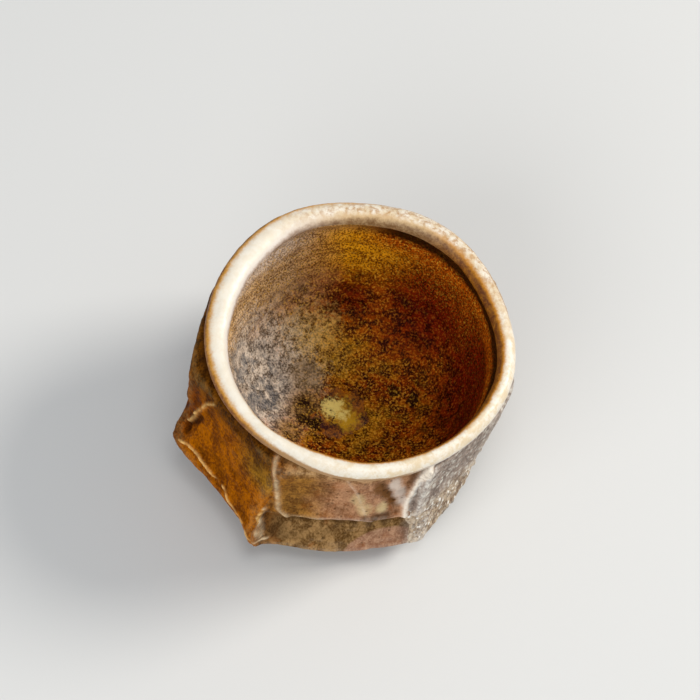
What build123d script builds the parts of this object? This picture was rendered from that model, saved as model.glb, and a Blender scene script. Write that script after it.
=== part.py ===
from build123d import *

import os
from math import radians, tan
from typing import NamedTuple

# Guinomi sake cup, millimetres, +Z up. The origin is the middle of the foot ring on the table, Z is the
# throwing axis and -Y is the front. Azimuths are degrees round from the front, positive to the right.

# Overall sizes, over the glaze
rim_diameter = 62.0
cup_height = 45.0
lip_thickness = 4.2

# Glaze coats
rim_glaze_thickness = 0.5
rim_glaze_gap = 0.3  # bare neck left between the rim coat and the cuts
inner_glaze_thickness = 0.4
amber_glaze_thickness = 0.4
ash_crust_thickness = 0.6
pool_depth = 0.5

# Bowl inside
floor_thickness = 6.1
groove_depth = 0.5  # throwing groove under the lip
groove_height = 7.0
wall_lean = 0.7  # how far the lower wall draws in from the mouth
corner_rise = 3.5  # height of the wall's pull above the floor
floor_reach = 15.5  # how far out the floor stays level

# Foot
foot_height = 4.0
foot_setback = 6.3  # foot's outside, in from the mouth
foot_width = 5.5
foot_draft = 0.7
foot_edge_bevel = 0.6

# Thrown outside, before it is cut
neck_height = 1.9  # straight band left between the round of the lip and the cuts
base_setback = 1.0  # edge of the flat underside, in from the mouth
heel_bulge = 6.5  # heel's edge, out from the lip
heel_rise = 4.0
belly_bulge = 8.1
belly_rise = 15.0

# Cuts: ledges between the rows, as heights above the underside
side_flare = 22.0  # degrees that the sides of a cut open outwards
upper_row_rise = 10.0  # end of the upper row, hidden behind the lower one
front_ledge_rise = 12.4
front_right_ledge_rise = 13.8
right_ledge_rise = 13.0
right_back_ledge_rise = 16.0
back_ledge_rise = 14.0
left_ledge_rise = 15.0
left_under_rise = 15.0

# Sizes that follow
lip_radius = rim_diameter / 2 - rim_glaze_thickness
lip_round = lip_thickness / 2 - rim_glaze_thickness
lip_ring_radius = rim_diameter / 2 - lip_thickness / 2
lip_ring_height = cup_height - lip_thickness / 2
mouth_radius = lip_ring_radius - lip_round
floor_height = foot_height + floor_thickness
shoulder_height = lip_ring_height - neck_height
cutter_reach = lip_radius + 3 * belly_bulge  # well outside the belly


class Cut(NamedTuple):
    """One scooping knife cut on the outside, walls measured out from the mouth radius."""

    azimuth: float
    left: float  # reach to either side, degrees
    right: float
    top_wall: float
    bottom_wall: float
    scoop: float  # hollow at mid height
    top: float = shoulder_height
    bottom: float = foot_height

    @property
    def top_reach(self):
        return mouth_radius + self.top_wall

    @property
    def bottom_reach(self):
        return mouth_radius + self.bottom_wall

    @property
    def middle_reach(self):
        return (self.top_reach + self.bottom_reach) / 2 - self.scoop

    def side(self, angle, distance):
        """Half width of the cut at a distance from the throwing axis, opening outwards."""
        beyond_face = distance - self.middle_reach
        return self.middle_reach * tan(radians(angle)) + beyond_face * tan(radians(side_flare))

    def cutter(self, coat=0.0):
        """Solid that the cut takes away, its face set in by the coat that fills it."""
        blade = ThreePointArc(
            (coat - self.top_reach, self.top),
            (coat - self.middle_reach, (self.top + self.bottom) / 2),
            (coat - self.bottom_reach, self.bottom),
        )
        outside = Polyline(blade @ 1, (-cutter_reach, self.bottom), (-cutter_reach, self.top), blade @ 0)
        stroke = extrude(Plane.YZ * make_face([blade, outside]), amount=cutter_reach, both=True)
        near = min(self.top_reach, self.middle_reach, self.bottom_reach) - coat
        corners = Polyline(
            (-self.side(self.left, near), -near),
            (self.side(self.right, near), -near),
            (self.side(self.right, cutter_reach), -cutter_reach),
            (-self.side(self.left, cutter_reach), -cutter_reach),
            close=True,
        )
        width = extrude(Pos(0, 0, self.bottom) * make_face(corners), amount=self.top - self.bottom)
        return Rot(0, 0, self.azimuth) * (stroke & width)


# Upper row, from the shoulder down past the ledge
upper_end = foot_height + upper_row_rise
left_cut = Cut(azimuth=-92, left=28, right=30, top_wall=3.9, bottom_wall=4.2, scoop=0.2, bottom=upper_end)
left_shave_cut = Cut(
    azimuth=-116, left=24, right=24, top_wall=2.8, bottom_wall=4.2, scoop=0.3, bottom=upper_end
)
left_front_cut = Cut(azimuth=-41, left=27, right=26, top_wall=3.1, bottom_wall=7.1, scoop=1.0)
front_cut = Cut(azimuth=7, left=30, right=22, top_wall=2.9, bottom_wall=2.2, scoop=0.7, bottom=upper_end)
spur_cut = Cut(azimuth=27, left=14, right=10, top_wall=2.1, bottom_wall=3.2, scoop=0.2, bottom=upper_end)
right_cut = Cut(azimuth=57, left=25, right=30, top_wall=2.7, bottom_wall=2.3, scoop=0.5, bottom=upper_end)
right_shave_cut = Cut(
    azimuth=76, left=24, right=24, top_wall=3.7, bottom_wall=2.2, scoop=0.1, bottom=upper_end
)
right_back_cut = Cut(
    azimuth=104, left=29, right=29, top_wall=2.8, bottom_wall=2.3, scoop=0.5, bottom=upper_end
)
back_cut = Cut(azimuth=163, left=33, right=33, top_wall=2.9, bottom_wall=2.7, scoop=0.7, bottom=upper_end)
left_back_cut = Cut(
    azimuth=-138, left=33, right=28, top_wall=2.9, bottom_wall=2.8, scoop=0.7, bottom=upper_end
)

# Lower row, from the ledge down to the underside
front_ledge = foot_height + front_ledge_rise
front_right_ledge = foot_height + front_right_ledge_rise
right_ledge = foot_height + right_ledge_rise
right_back_ledge = foot_height + right_back_ledge_rise
back_ledge = foot_height + back_ledge_rise
left_ledge = foot_height + left_ledge_rise
left_under_ledge = foot_height + left_under_rise
left_under_cut = Cut(
    azimuth=-44, left=42, right=31, top_wall=8.9, bottom_wall=3.7, scoop=0.2, top=left_under_ledge
)
front_low_cut = Cut(
    azimuth=8, left=25, right=20, top_wall=0.8, bottom_wall=5.4, scoop=0.4, top=front_ledge
)
front_right_low_cut = Cut(
    azimuth=22, left=23, right=27, top_wall=0.5, bottom_wall=4.1, scoop=0.4, top=front_right_ledge
)
right_low_cut = Cut(
    azimuth=64, left=27, right=27, top_wall=1.5, bottom_wall=2.9, scoop=0.4, top=right_ledge
)
right_low_shave_cut = Cut(
    azimuth=80, left=24, right=24, top_wall=2.2, bottom_wall=1.9, scoop=0.1, top=right_ledge
)
right_back_low_cut = Cut(
    azimuth=108, left=27, right=27, top_wall=1.3, bottom_wall=1.9, scoop=0.3, top=right_back_ledge
)
back_right_low_cut = Cut(
    azimuth=150, left=27, right=27, top_wall=1.3, bottom_wall=1.7, scoop=0.3, top=back_ledge
)
back_low_cut = Cut(
    azimuth=-166, left=27, right=27, top_wall=1.3, bottom_wall=1.7, scoop=0.3, top=back_ledge
)
left_back_low_cut = Cut(
    azimuth=-124, left=27, right=27, top_wall=1.7, bottom_wall=1.9, scoop=0.4, top=left_ledge
)
left_low_cut = Cut(azimuth=-92, left=30, right=26, top_wall=4.6, bottom_wall=1.2, scoop=0.4, top=left_ledge)

amber_cuts = [left_cut, left_front_cut]
crusted_cuts = [right_cut, right_shave_cut, right_low_cut, right_low_shave_cut]
bare_cuts = [
    front_cut,
    spur_cut,
    right_back_cut,
    back_cut,
    left_back_cut,
    left_shave_cut,
    left_under_cut,
    front_low_cut,
    front_right_low_cut,
    right_back_low_cut,
    back_right_low_cut,
    back_low_cut,
    left_back_low_cut,
    left_low_cut,
]


def bowl_curve(coat):
    """Inside of the bowl from the lip to the middle of the floor, moved in by a coat's thickness."""
    mouth = mouth_radius - coat
    floor = floor_height + coat
    groove = ThreePointArc(
        (mouth, lip_ring_height),
        (mouth + groove_depth, lip_ring_height - groove_height / 2),
        (mouth, lip_ring_height - groove_height),
    )
    wall = Bezier(groove @ 1, (mouth - wall_lean, floor + corner_rise), (floor_reach, floor), (0, floor))
    return [groove, wall]


def turned(edges):
    """Solid turned about the throwing axis from edges drawn as radius and height."""
    return revolve(Plane.XZ * make_face(edges), Axis.Z)


def bowl_space(coat):
    """Space inside the bowl up to the lip."""
    groove, wall = bowl_curve(coat)
    closing = Polyline(wall @ 1, (0, lip_ring_height), groove @ 0)
    return turned([groove, wall, closing])


def thrown_cup():
    """Cup as it came off the wheel, uncut."""
    groove, wall = bowl_curve(0.0)
    base = Polyline(
        wall @ 1,
        (0, foot_height),
        (mouth_radius - base_setback, foot_height),
        (lip_radius + heel_bulge, foot_height + heel_rise),
    )
    belly = ThreePointArc(
        base @ 1,
        (lip_radius + belly_bulge, foot_height + belly_rise),
        (lip_radius, shoulder_height),
    )
    neck = Line(belly @ 1, (lip_radius, lip_ring_height))
    lip = ThreePointArc(neck @ 1, (lip_ring_radius, lip_ring_height + lip_round), groove @ 0)
    return turned([base, belly, neck, lip, groove, wall])


def rim_coat():
    """Pale coat over the lip, thick as the lip's glaze all round it."""
    run_end = shoulder_height + rim_glaze_gap
    crown = lip_ring_height + lip_round
    under = ThreePointArc(
        (lip_radius, lip_ring_height), (lip_ring_radius, crown), (mouth_radius, lip_ring_height)
    )
    over = ThreePointArc(
        (mouth_radius - rim_glaze_thickness, lip_ring_height),
        (lip_ring_radius, crown + rim_glaze_thickness),
        (lip_radius + rim_glaze_thickness, lip_ring_height),
    )
    inside_end = Line(under @ 1, over @ 0)
    outside_end = Polyline(
        over @ 1, (lip_radius + rim_glaze_thickness, run_end), (lip_radius, run_end), under @ 0
    )
    return turned([under, inside_end, over, outside_end])


def foot():
    """Turned ring that the cup stands on."""
    outside = mouth_radius - foot_setback
    inside = outside - foot_width
    outline = Polyline(
        (inside, foot_height),
        (inside, foot_edge_bevel),
        (inside + foot_edge_bevel, 0),
        (outside - foot_draft - foot_edge_bevel, 0),
        (outside - foot_draft, foot_edge_bevel),
        (outside, foot_height),
        (inside, foot_height),
    )
    return turned([outline])


def beds(cuts, coat):
    """Cutters of a coated group, set in by the coat and joined."""
    return Part() + [cut.cutter(coat) for cut in cuts]


blank = thrown_cup()
fired = blank - [cut.cutter() for cut in bare_cuts + amber_cuts + crusted_cuts]
amber_bed = beds(amber_cuts, amber_glaze_thickness)
crust_bed = beds(crusted_cuts, ash_crust_thickness)
bowl = bowl_space(0.0)
glazed_bowl = bowl_space(inner_glaze_thickness)
pool_level = floor_height + inner_glaze_thickness + pool_depth

nodes = {
    "clay_body": fired - amber_bed - crust_bed,
    "foot_ring": foot(),
    "inner_glaze": bowl - glazed_bowl,
    "rim_glaze": rim_coat(),
    "glaze_pool": split(glazed_bowl, bisect_by=Plane.XY.offset(pool_level), keep=Keep.BOTTOM),
    "amber_glaze": fired & amber_bed,
    "ash_crust": fired & crust_bed,
}

os.makedirs("parts", exist_ok=True)
for name, shape in nodes.items():
    export_step(shape, f"parts/{name}.step")
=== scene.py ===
import math
from functools import partial

import bpy
import numpy as np
from mathutils import Matrix, Vector


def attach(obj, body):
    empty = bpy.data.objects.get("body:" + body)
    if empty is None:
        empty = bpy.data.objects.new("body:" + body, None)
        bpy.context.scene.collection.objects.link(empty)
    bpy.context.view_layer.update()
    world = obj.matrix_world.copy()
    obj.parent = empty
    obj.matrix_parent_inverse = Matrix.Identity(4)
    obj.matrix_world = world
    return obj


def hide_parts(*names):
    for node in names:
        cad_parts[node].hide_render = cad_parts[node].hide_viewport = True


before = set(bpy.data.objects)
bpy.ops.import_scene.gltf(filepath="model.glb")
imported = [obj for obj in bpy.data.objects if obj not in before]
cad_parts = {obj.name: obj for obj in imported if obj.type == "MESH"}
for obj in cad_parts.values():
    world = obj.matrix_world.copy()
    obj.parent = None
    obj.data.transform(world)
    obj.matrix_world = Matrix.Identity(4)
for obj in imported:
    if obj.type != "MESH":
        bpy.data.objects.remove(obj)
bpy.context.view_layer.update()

mm = 0.001
print("frame loaded, nodes:", len(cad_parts))

# Cup form, millimetres. Azimuth is degrees round from the front (-Y), positive to the right (+X).
cupForm = {
    "rimRadius": 31.1,
    "height": 45.0,
    "mouthRadius": 27.3,     # clay behind the lining
    "baseHeight": 4.0,
    "baseRadius": 26.3,
    "baseSlope": 0.36,       # rise of the underside out to the heel
    "baseRound": 1.3,
    "shoulder": 41.0,        # top of the upper cuts
    "ledge": 14.0,           # foot of the upper cuts
    "bellyHeights": [4.0, 8.0, 19.0, 30.0, 35.0, 38.0, 41.0, 46.0],  # the uncut pot
    "bellyRadii": [34.5, 37.0, 38.6, 36.6, 34.5, 32.7, 30.6, 30.6],
    "ridgeRound": 0.8,       # how soft two cuts meet
    "sideFlare": (2.8, 0.5),   # slope and rounding where a cut runs out at its sides
    "endFlare": (2.4, 0.35),   # the same at its top and bottom
    "waveFade": (14, 40),    # heights over which the rim's wave dies out down the wall
    "rimLobes": [(0.42, 5, 13), (0.16, 3, -139)],  # out, count, azimuth
    "rimSwells": [(0.25, -35, 16), (0.5, 50, 20), (-0.3, -124, 14)],  # out, azimuth, spread
    "leftSwell": [(0.7, -92, 26)],  # the lip is thicker where the left wall leaves it
    "columns": 720,
    "heelStep": 0.16,        # rows of the grid: close below the heel's top, then wider
    "heelTop": 8.0,
    "rowStep": 0.27,
    "gridTop": 42.4,
}

# Knife cuts: azimuth, reach left and right in degrees, wall outside the mouth at top and bottom, hollow
upperCuts = {
    "left": dict(at=-92, left=28, right=30, topWall=3.9, bottomWall=4.2, scoop=0.2),
    "leftFront": dict(at=-41, left=27, right=26, topWall=3.1, bottomWall=7.1, scoop=1.1, bottom=4.0),
    "front": dict(at=7, left=30, right=22, topWall=2.9, bottomWall=2.2, scoop=0.8),
    "spur": dict(at=27, left=14, right=9, topWall=1.9, bottomWall=3.2, scoop=0.2),
    "right": dict(at=57, left=24, right=30, topWall=2.7, bottomWall=2.2, scoop=0.5),
    "rightShave": dict(at=76, left=24, right=24, topWall=3.7, bottomWall=2.2, scoop=0.1),
    "rightBack": dict(at=104, left=29, right=29, topWall=2.8, bottomWall=2.3, scoop=0.5),
    "back": dict(at=163, left=33, right=33, topWall=2.9, bottomWall=2.7, scoop=0.7),
    "leftBack": dict(at=-138, left=33, right=28, topWall=2.9, bottomWall=2.8, scoop=0.7),
    "leftShave": dict(at=-116, left=24, right=24, topWall=2.8, bottomWall=4.2, scoop=0.3),
}
lowerCuts = {
    "leftUnder": dict(at=-44, left=42, right=31, topWall=8.9, bottomWall=3.7, scoop=0.2, top=19.0),
    "frontLow": dict(at=8, left=26, right=20, topWall=0.8, bottomWall=5.4, scoop=0.4, top=16.4),
    "frontRightLow": dict(at=22, left=23, right=27, topWall=0.5, bottomWall=4.1, scoop=0.4, top=17.8),
    "rightLow": dict(at=64, left=27, right=27, topWall=1.5, bottomWall=2.9, scoop=0.4, top=17.0),
    "rightLowShave": dict(at=80, left=24, right=24, topWall=2.2, bottomWall=1.9, scoop=0.1, top=17.0),
    "rightBackLow": dict(at=108, left=27, right=27, topWall=1.3, bottomWall=1.9, scoop=0.3, top=20.0),
    "backRightLow": dict(at=150, left=27, right=27, topWall=1.3, bottomWall=1.7, scoop=0.3, top=18.0),
    "backLow": dict(at=-166, left=27, right=27, topWall=1.3, bottomWall=1.7, scoop=0.3, top=18.0),
    "leftBackLow": dict(at=-124, left=27, right=27, topWall=1.7, bottomWall=1.9, scoop=0.4, top=19.0),
    "leftLow": dict(at=-92, left=30, right=26, topWall=4.6, bottomWall=1.2, scoop=0.4, top=19.0),
}
knifeCuts = [{"top": cupForm["shoulder"], "bottom": cupForm["ledge"], **cut} for cut in upperCuts.values()]
knifeCuts += [{"bottom": cupForm["baseHeight"], **cut} for cut in lowerCuts.values()]

# Burrs that the knife raised, or nicks where high is negative: path as azimuth and height, then height and
# width of the bead, how pale it is, and how broken along its length
knifeBurrs = {
    "frontLeftRidge": dict(path=[(-20.6, 40.5), (-18.3, 34), (-16.8, 24.4), (-15.9, 19.5), (-12, 17)],
                           high=0.45, wide=0.7, pale=0.7, broken=0.3),
    "frontLedge": dict(path=[(-12, 17), (-2, 17.7), (10, 19.2), (20, 18.9)],
                       high=0.25, wide=0.7, pale=0.35, broken=0.4),
    "spurRidge": dict(path=[(39.6, 43), (38, 40.6), (36.9, 37.2), (35.6, 34.4), (34.4, 31.4), (33.5, 28.4),
                            (32.6, 24.8), (32.9, 21.3), (33.4, 18)],
                      high=0.8, wide=0.85, pale=1.6, broken=0.12),
    "spurCrease": dict(path=[(21.5, 37), (25, 30.5), (28.5, 25)], high=-0.3, wide=0.8, pale=0, broken=0.4),
    "vein": dict(path=[(7, 39), (12.4, 31.4), (17, 22)], high=0.12, wide=0.5, pale=0.25, broken=0.5),
    "curl": dict(path=[(-52.6, 38), (-56.8, 33.8), (-60.4, 27.1), (-63.1, 20)],
                 high=0.7, wide=0.5, pale=0.85, broken=0.8),
    "earPit": dict(path=[(-58.5, 26), (-62, 19.5), (-61.6, 16.8)], high=-0.5, wide=0.6, pale=0, broken=0.5),
    "leftHem": dict(path=[(-60.7, 14.4), (-57.1, 15.7), (-53.3, 15.6), (-49.1, 14.6), (-42.4, 13.7)],
                    high=0.4, wide=0.45, pale=1.0, broken=0.8),
    "lowHem": dict(path=[(-39.3, 13.6), (-34.9, 11.3), (-30, 10.4), (-25.6, 10.2), (-22, 9.9), (-18.8, 9.5),
                         (-16.8, 9.3)],
                   high=0.3, wide=0.45, pale=0.9, broken=0.7),
    "finRidge": dict(path=[(-20.5, 19.3), (-21.5, 15.5), (-20.1, 12.9), (-18.6, 10.4)],
                     high=0.5, wide=0.5, pale=0.9, broken=0.4),
    "finPit": dict(path=[(-18.6, 16), (-18.4, 13.5)], high=-0.35, wide=0.8, pale=0, broken=0.3),
    "ledgeShade": dict(path=[(-11, 15), (-2, 15.9), (10, 17), (20, 16.8), (30, 15.6)],
                       high=-0.3, wide=0.9, pale=0, broken=0.3),
    "backRidge": dict(path=[(132, 40), (132, 30), (131, 19)], high=0.25, wide=0.9, pale=0.25, broken=0.8),
}

# Lumps of clay pushed out by the knife, or in: azimuth, height, how far out, spread
clayLumps = {
    "ear": dict(at=-60.5, z=12.4, out=1.7, wide=4.4, tall=4.4),
    "earTop": dict(at=-65.5, z=16.4, out=0.8, wide=3.0, tall=2.4),
    "earNeck": dict(at=-68, z=22.5, out=-0.9, wide=4.0, tall=3.2),
    "hemSwell": dict(at=-51.5, z=11.5, out=0.8, wide=4.4, tall=4.0),
    "finTip": dict(at=-20.5, z=9.0, out=1.5, wide=2.6, tall=4.0),
    "leftShoulder": dict(at=-80, z=40.5, out=0.5, wide=8.0, tall=3.2),
    "earHollow": dict(at=-63, z=18.0, out=-0.7, wide=1.4, tall=2.4),
}


def hashLattice(ix, iy, iz, seed):
    h = (ix * 374761393 + iy * 668265263 + iz * 2147483647 + seed * 1274126177) & 0xFFFFFFFF
    h = ((h ^ (h >> 13)) * 1103515245) & 0xFFFFFFFF
    h = ((h ^ (h >> 16)) * 2654435761) & 0xFFFFFFFF
    return ((h >> 8) & 0xFFFF) / 32767.5 - 1.0


def valueNoise(x, y, z, seed):
    x, y, z = np.broadcast_arrays(x, y, z)
    base = [np.floor(v).astype(np.int64) for v in (x, y, z)]
    part = [v - b for v, b in zip((x, y, z), base)]
    part = [p * p * p * (p * (p * 6 - 15) + 10) for p in part]
    total = np.zeros(x.shape)
    for corner in range(8):
        step = [(corner >> k) & 1 for k in range(3)]
        weight = 1.0
        for p, s in zip(part, step):
            weight = weight * (p if s else 1 - p)
        total = total + weight * hashLattice(base[0] + step[0], base[1] + step[1], base[2] + step[2], seed)
    return total


def clayNoise(x, y, z, grain, octaves, seed):
    total, amount, scale = 0.0, 1.0, 1.0 / grain
    for k in range(octaves):
        total = total + amount * valueNoise(x * scale, y * scale, z * scale, seed + 17 * k)
        amount, scale = amount * 0.5, scale * 2.03
    return total


def softMin(a, b, width):
    h = np.clip(0.5 + 0.5 * (b - a) / width, 0, 1)
    return b + (a - b) * h - width * h * (1 - h)


def smoothStep(low, high, v):
    t = np.clip((v - low) / (high - low), 0, 1)
    return t * t * (3 - 2 * t)


def turnGap(az, centre):  # signed difference of two azimuths
    return (az - centre + 180) % 360 - 180


def softOver(v, width):  # zero below nought, then a rounded start to a straight slope
    v = np.maximum(v, 0)
    return np.sqrt(v * v + width * width) - width


def cutRadius(az, z, cut):
    top = cupForm["mouthRadius"] + cut["topWall"]
    bottom = cupForm["mouthRadius"] + cut["bottomWall"]
    middle = (top + bottom) / 2 - cut["scoop"]
    t = np.clip((z - cut["bottom"]) / (cut["top"] - cut["bottom"]), 0, 1)
    face = bottom * (1 - t) * (1 - 2 * t) + top * t * (2 * t - 1) + 4 * middle * t * (1 - t)
    angle = np.radians(turnGap(az, cut["at"]))
    near = np.cos(angle) > 0.3
    angle = np.where(near, angle, 0)
    across = face * np.tan(angle)
    past = np.maximum(-middle * math.tan(math.radians(cut["left"])) - across,
                      across - middle * math.tan(math.radians(cut["right"])))
    beyond = np.maximum(z - cut["top"], cut["bottom"] - z)
    (sideSlope, sideRound), (endSlope, endRound) = cupForm["sideFlare"], cupForm["endFlare"]
    radius = face / np.cos(angle) + sideSlope * softOver(past, sideRound)
    radius = radius + endSlope * softOver(beyond, endRound)
    return np.where(near, radius, 90.0)  # well clear on the far side


def burrField(az, z, burr):
    best = np.full(np.broadcast(az, z).shape, 1e9)
    perDegree = math.radians(1) * cupForm["rimRadius"]
    points = burr["path"]
    for (a0, z0), (a1, z1) in zip(points[:-1], points[1:]):
        px, pz = turnGap(az, a0) * perDegree, z - z0
        dx, dz = (a1 - a0) * perDegree, z1 - z0
        t = np.clip((px * dx + pz * dz) / (dx * dx + dz * dz), 0, 1)
        best = np.minimum(best, np.hypot(px - t * dx, pz - t * dz))
    return np.exp(-(best / burr["wide"]) ** 2)


def bell(az, centre, spread):
    return np.exp(-(turnGap(az, centre) / spread) ** 2)


def swellAt(az, swells):
    return sum(out * bell(az, centre, spread) for out, centre, spread in swells)


def rimWave(az):  # five soft lobes, as the rim is seen from above
    lobes = sum(out * np.cos(count * np.radians(az - at)) for out, count, at in cupForm["rimLobes"])
    return lobes + swellAt(az, cupForm["leftSwell"]) + swellAt(az, cupForm["rimSwells"])


def outsideRadius(az, z):
    radius = np.interp(z, cupForm["bellyHeights"], cupForm["bellyRadii"]) + 0 * az
    under = cupForm["baseRadius"] + (z - cupForm["baseHeight"]) / cupForm["baseSlope"]
    for cut in knifeCuts:
        radius = softMin(radius, cutRadius(az, z, cut), cupForm["ridgeRound"])
    for lump in clayLumps.values():
        across = turnGap(az, lump["at"]) * math.radians(1) * cupForm["rimRadius"] / lump["wide"]
        radius = radius + lump["out"] * np.exp(-across ** 2 - ((z - lump["z"]) / lump["tall"]) ** 2)
    radius = softMin(radius, under + 0 * az, cupForm["baseRound"])
    return radius + rimWave(az) * smoothStep(*cupForm["waveFade"], z)


def blurGrid(values, down, along):  # box blur twice, wrapping round the cup
    for _ in range(2):
        for axis, reach in ((0, down), (1, along)):
            total = np.zeros(values.shape)
            for step in range(-reach, reach + 1):
                if axis == 1:
                    total += np.roll(values, step, axis=1)
                else:
                    rows = np.clip(np.arange(values.shape[0]) + step, 0, values.shape[0] - 1)
                    total += values[rows]
            values = total / (2 * reach + 1)
    return values


# One grid of azimuth and height carries the outside of the clay, and the coats are cut from it
columns = cupForm["columns"]
azimuths = np.linspace(-180, 180, columns, endpoint=False)
flat = 0 * azimuths
heights = np.concatenate([np.arange(cupForm["baseHeight"], cupForm["heelTop"], cupForm["heelStep"]),
                          np.arange(cupForm["heelTop"], cupForm["gridTop"], cupForm["rowStep"])])
gridAz, gridZ = np.meshgrid(azimuths, heights)


def around(az, radius, z):  # azimuth and radius to x, y, z in millimetres
    a = np.radians(az)
    return radius * np.sin(a), -radius * np.cos(a), z + 0 * radius


# Skin of the clay: each noise as grain, octaves and seed
skinForm = {
    "burrNoise": (1.5, 3, 5),
    "burrShow": 0.85,
    "beadPower": 2.2,          # how narrow the pale line on a burr is
    "calmTop": (42.4, 40.5),   # relief dies out under the lip
    "swell": 0.30,
    "swellNoise": (9.0, 2, 11),
    "grit": 0.10,
    "gritNoise": (2.4, 3, 23),
    "drag": 0.05,              # level lines of the knife
    "dragNoise": (1.6, 2, 31),
    "crumb": 0.24,             # ash on the right, twice as high near the foot
    "crumbNoise": (1.15, 2, 41),
    "crumbLow": (22, 14),
    "blur": (6, 7),            # rows and columns, to tell ridges from hollows
    "ridgeFull": 0.28,
    "hollowFull": 0.30,
}


def makeOutside():
    form = skinForm
    radius = outsideRadius(gridAz, gridZ)
    bead = np.zeros(radius.shape)
    for burr in knifeBurrs.values():
        field = burrField(gridAz, gridZ, burr)
        x, y, z = around(gridAz, radius, gridZ)
        ragged = np.clip(form["burrShow"] + burr["broken"] * clayNoise(x, y, z, *form["burrNoise"]), 0, 1.3)
        radius = radius + burr["high"] * field * ragged
        bead = np.maximum(bead, burr["pale"] * field ** form["beadPower"] * ragged)
    x, y, z = around(gridAz, radius, gridZ)
    calm = smoothStep(*form["calmTop"], gridZ)
    swell = form["swell"] * clayNoise(x, y, z, *form["swellNoise"])
    radius = radius + calm * (swell + form["grit"] * clayNoise(x, y, z, *form["gritNoise"]))
    pull = clayNoise(x * 0.35, y * 0.35, z * 2.2, *form["dragNoise"])
    crusty = smoothStep(37, 43, gridAz) * smoothStep(106, 94, gridAz) * smoothStep(42, 39, gridZ)
    radius = radius + calm * form["drag"] * pull * (1 - crusty)
    crumbs = np.maximum(0, clayNoise(x, y, 0.6 * z, *form["crumbNoise"]) - 0.15)
    radius = radius + crusty * form["crumb"] * (1 + smoothStep(*form["crumbLow"], gridZ)) * crumbs
    return radius, bead, radius - blurGrid(radius, *form["blur"])


outsideR, beadMask, outsideRise = makeOutside()
beadMask = np.clip(beadMask, 0, 1)
ridgeMask = np.clip(outsideRise / skinForm["ridgeFull"], 0, 1)
hollowMask = np.clip(-outsideRise / skinForm["hollowFull"], 0, 1)
print("outside grid", outsideR.shape, "radius", round(outsideR.min(), 2), round(outsideR.max(), 2))


def addMesh(name, points, faces, values):
    mesh = bpy.data.meshes.new(name)
    mesh.from_pydata((np.asarray(points) * mm).tolist(), [], faces)
    for key, numbers in values.items():
        layer = mesh.attributes.new(key, "FLOAT", "POINT")
        layer.data.foreach_set("value", np.asarray(numbers, dtype=np.float32))
    mesh.update()
    mesh.polygons.foreach_set("use_smooth", [True] * len(mesh.polygons))
    piece = bpy.data.objects.new(name, mesh)
    bpy.context.scene.collection.objects.link(piece)
    return piece


def turnedPiece(name, rows, values=None, loop=False):
    # rows of (radius, height) arrays all the way round; the ends close to a point, or join up in a ring
    points, faces, layers = [], [], {}
    for radius, height in rows:
        points.append(np.stack(around(azimuths, radius + flat, height + flat), axis=1))
    for key, perRow in (values or {}).items():
        layers[key] = list(np.concatenate([v + flat for v in perRow]))
    count = len(rows)
    for j in range(count if loop else count - 1):
        a, b = j * columns, ((j + 1) % count) * columns
        for i in range(columns):
            k = (i + 1) % columns
            faces.append((a + i, a + k, b + k, b + i))
    allPoints = np.concatenate(points)
    if not loop:
        for row, flip in ((0, False), (count - 1, True)):
            ring = allPoints[row * columns:(row + 1) * columns]
            middle = len(allPoints)
            allPoints = np.vstack([allPoints, ring.mean(axis=0)])
            for i in range(columns):
                k = (i + 1) % columns
                pair = (row * columns + i, row * columns + k)
                faces.append((middle, pair[0], pair[1]) if flip else (middle, pair[1], pair[0]))
            for numbers in layers.values():
                numbers.append(numbers[row * columns])
    return addMesh(name, allPoints, faces, layers)


def patchPiece(name, rowRange, columnRange, thickness, sink, values):
    # closed shell on part of the outside grid, its back sunk in the clay
    rows, cols = np.arange(*rowRange), np.arange(*columnRange)
    pick = np.ix_(rows, cols)
    skin = outsideR[pick] + thickness[pick]
    az, z = gridAz[pick], gridZ[pick]
    front = np.stack(around(az, skin, z), axis=-1).reshape(-1, 3)
    back = np.stack(around(az, np.minimum(outsideR[pick], skin) - sink, z), axis=-1).reshape(-1, 3)
    high, wide = len(rows), len(cols)
    half = high * wide
    faces = []
    for j in range(high - 1):
        for i in range(wide - 1):
            a = j * wide + i
            faces.append((a, a + 1, a + wide + 1, a + wide))
            faces.append((half + a, half + a + wide, half + a + wide + 1, half + a + 1))
    border = list(range(wide))
    border += [j * wide + wide - 1 for j in range(1, high)]
    border += [(high - 1) * wide + i for i in range(wide - 2, -1, -1)]
    border += [j * wide for j in range(high - 2, 0, -1)]
    for a, b in zip(border, border[1:] + border[:1]):
        faces.append((a, half + a, half + b, b))
    layers = {key: np.tile(v[pick].reshape(-1), 2) for key, v in values.items()}
    return addMesh(name, np.vstack([front, back]), faces, layers)


# Shader helpers
def newMaterial(name):
    material = bpy.data.materials.new(name)
    material.use_nodes = True
    tree = material.node_tree
    tree.nodes.clear()
    out = tree.nodes.new("ShaderNodeOutputMaterial")
    shader = tree.nodes.new("ShaderNodeBsdfPrincipled")
    tree.links.new(shader.outputs["BSDF"], out.inputs["Surface"])
    return material, tree, shader


def plug(tree, source, target):
    if isinstance(source, (int, float)):
        target.default_value = source
    elif isinstance(source, (tuple, list)):
        isColour = len(target.default_value) == 4 and len(source) == 3
        target.default_value = (*source, 1.0) if isColour else source
    else:
        tree.links.new(source, target)


def calc(tree, kind, a, b=None, c=None):
    node = tree.nodes.new("ShaderNodeMath")
    node.operation = kind
    for value, socket in zip((a, b, c), node.inputs):
        if value is not None:
            plug(tree, value, socket)
    return node.outputs[0]


def fold(kind, tree, *values):  # one operation down a row of values
    total = values[0]
    for value in values[1:]:
        total = calc(tree, kind, total, value)
    return total


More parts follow.
